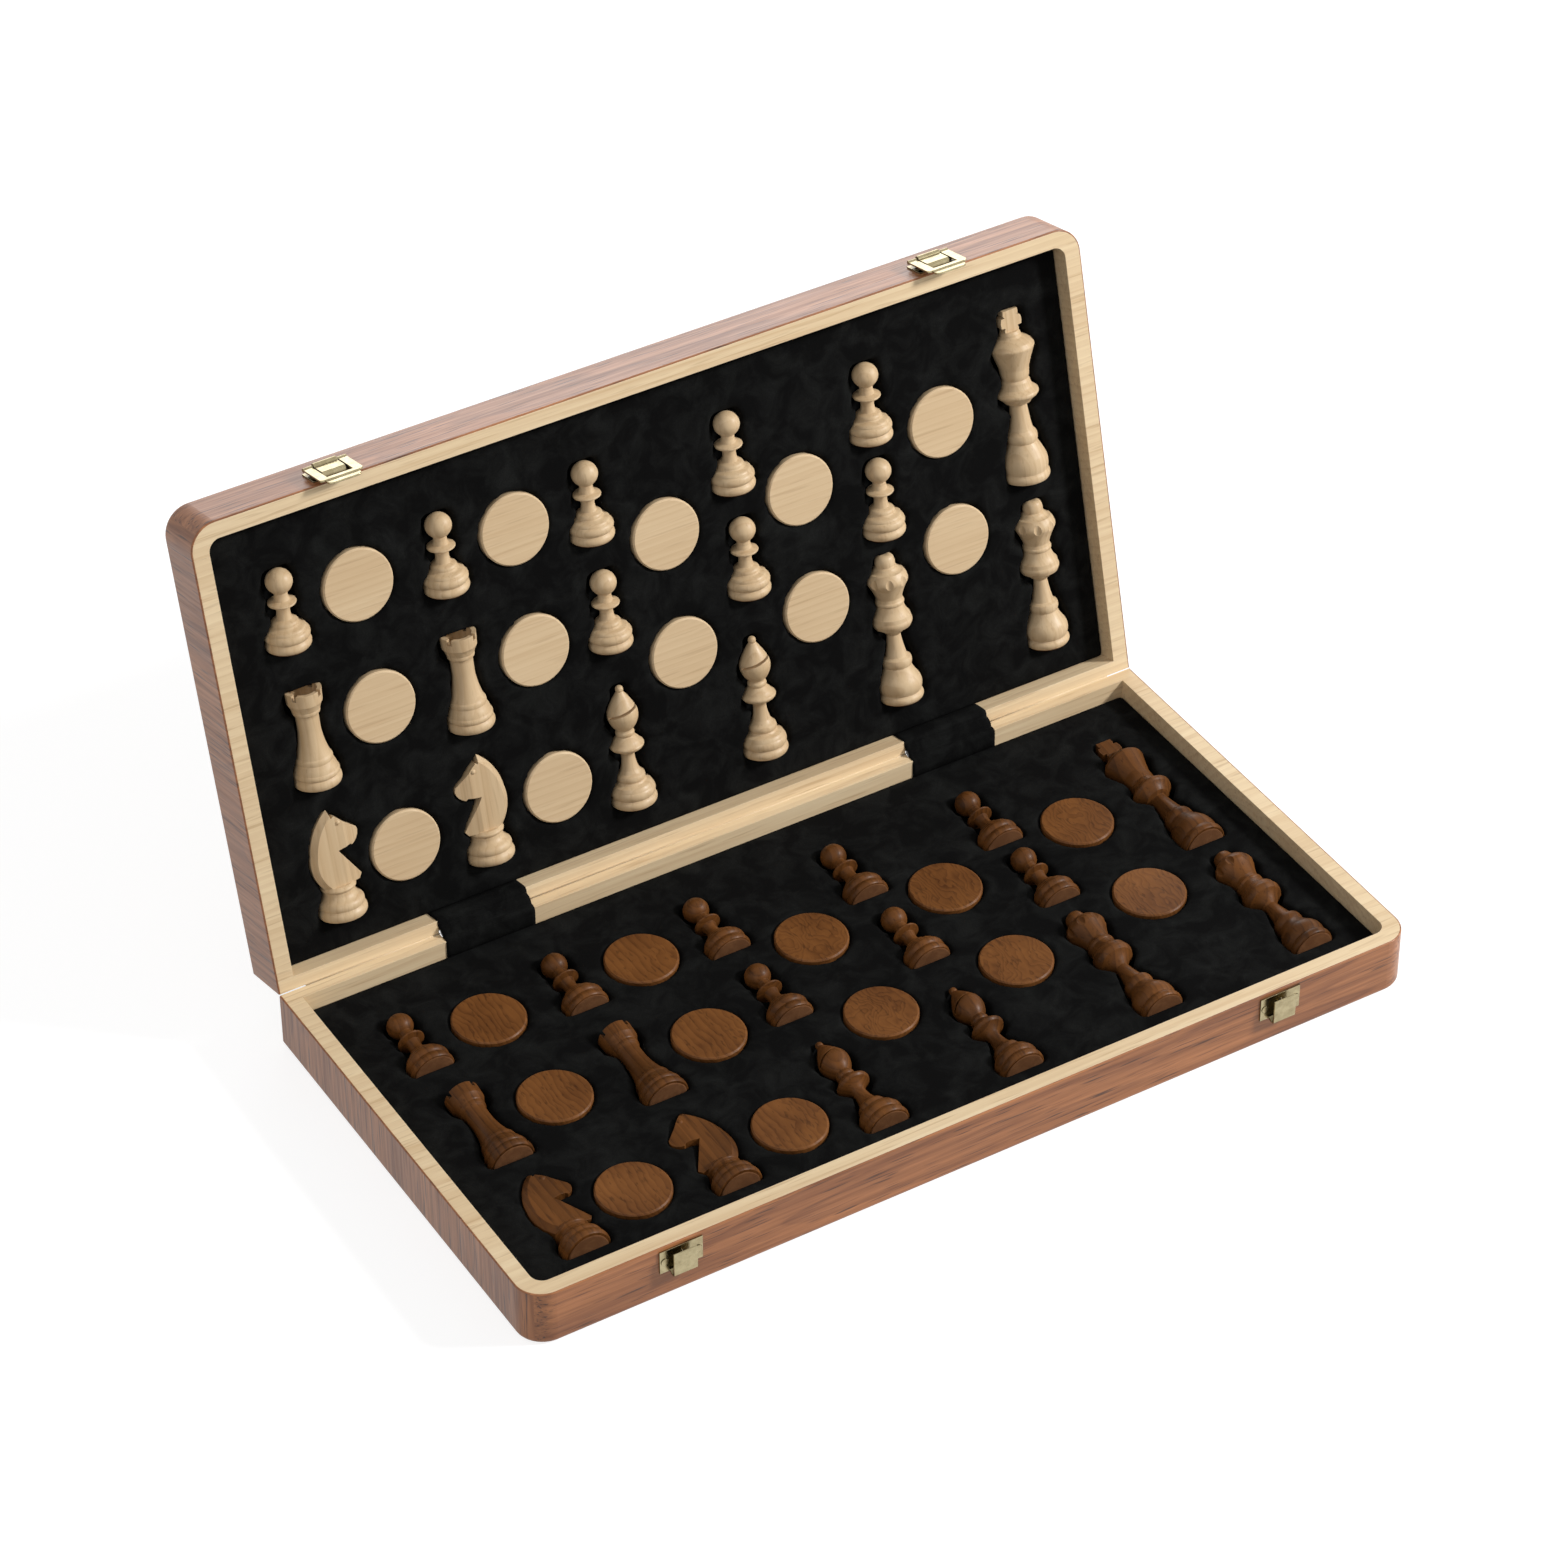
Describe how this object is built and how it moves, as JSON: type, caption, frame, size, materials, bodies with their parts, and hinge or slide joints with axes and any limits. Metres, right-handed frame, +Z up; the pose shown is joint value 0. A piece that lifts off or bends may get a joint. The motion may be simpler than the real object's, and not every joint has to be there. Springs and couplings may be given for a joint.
{
  "type": "folding magnetic chess and draughts box",
  "caption": "Folding wooden box, standing open on a hinge line, whose outsides make a squared board; both lined trays hold chess pieces and flat draughts in fitted recesses",
  "frame": {"origin": "centre of the lower tray's underside, on the table", "axes": "+X along the box to the right, +Y from the latches to the hinges, +Z up"},
  "size_m": [0.38, 0.2648, 0.2123],
  "materials": {
    "rail_wood": "clear-lacquered pale maple",
    "walnut_veneer": "satin-lacquered reddish walnut veneer",
    "panel_wood": "bare board",
    "steel_sheet": "bare sheet",
    "dark_square_wood": "satin-lacquered walnut veneer",
    "light_square_wood": "satin-lacquered maple veneer",
    "black_flannel": "matt brushed flannel",
    "black_steel": "black lacquer",
    "brass": "polished pale brass",
    "magnet_steel": "bare",
    "brown_felt": "matt felt",
    "dark_piece_wood": "satin-lacquered dark wood",
    "light_piece_wood": "satin-lacquered boxwood",
    "dark_draught_wood": "satin-lacquered dark wood",
    "light_draught_wood": "satin-lacquered boxwood"
  },
  "bodies": {
    "tray": {"tray_front_rail": "rail_wood", "tray_side_rails": "rail_wood", "tray_hinge_rail": "rail_wood", "tray_veneer": "walnut_veneer", "tray_panel": "panel_wood", "tray_steel_sheet": "steel_sheet", "tray_dark_squares": "dark_square_wood", "tray_light_squares": "light_square_wood", "tray_foam": "black_flannel", "tray_hinge_flaps": "black_flannel", "tray_hinge_leaves": "black_steel", "tray_hinge_screws": "black_steel", "hinge_pins": "black_steel", "catch_left": "brass", "catch_right": "brass", "catch_screws": "brass", "dark_rook_1": "dark_piece_wood", "dark_rook_2": "dark_piece_wood", "dark_knight_1": "dark_piece_wood", "dark_knight_2": "dark_piece_wood", "dark_bishop_1": "dark_piece_wood", "dark_bishop_2": "dark_piece_wood", "dark_queen_1": "dark_piece_wood", "dark_queen_2": "dark_piece_wood", "dark_king": "dark_piece_wood", "dark_pawns": "dark_piece_wood", "dark_draughts": "dark_draught_wood", "dark_magnets": "magnet_steel", "dark_base_felts": "brown_felt"},
    "lid": {"lid_front_rail": "rail_wood", "lid_side_rails": "rail_wood", "lid_hinge_rail": "rail_wood", "lid_veneer": "walnut_veneer", "lid_panel": "panel_wood", "lid_steel_sheet": "steel_sheet", "lid_dark_squares": "dark_square_wood", "lid_light_squares": "light_square_wood", "lid_foam": "black_flannel", "lid_hinge_flaps": "black_flannel", "lid_hinge_leaves": "black_steel", "lid_hinge_screws": "black_steel", "hasp_plate_left": "brass", "hasp_plate_right": "brass", "hasp_screws": "brass", "light_rook_1": "light_piece_wood", "light_rook_2": "light_piece_wood", "light_knight_1": "light_piece_wood", "light_knight_2": "light_piece_wood", "light_bishop_1": "light_piece_wood", "light_bishop_2": "light_piece_wood", "light_queen_1": "light_piece_wood", "light_queen_2": "light_piece_wood", "light_king": "light_piece_wood", "light_pawns": "light_piece_wood", "light_draughts": "light_draught_wood", "light_magnets": "magnet_steel", "light_base_felts": "brown_felt"},
    "hasp_loop_left": {"hasp_loop_left": "brass"},
    "hasp_loop_right": {"hasp_loop_right": "brass"}
  },
  "joints": [
    {"name": "fold", "type": "hinge", "parent": "tray", "child": "lid", "pos_m": [0, 0.09515, 0.02415], "axis": [-1, 0, 0], "range_deg": [-104.55, 75.45]},
    {"name": "left_hasp", "type": "hinge", "parent": "lid", "child": "hasp_loop_left", "pos_m": [-0.129, 0.15395, 0.20792], "axis": [-1, 0, 0], "range_deg": [0, 110]},
    {"name": "right_hasp", "type": "hinge", "parent": "lid", "child": "hasp_loop_right", "pos_m": [0.129, 0.15395, 0.20792], "axis": [-1, 0, 0], "range_deg": [0, 110]}
  ]
}
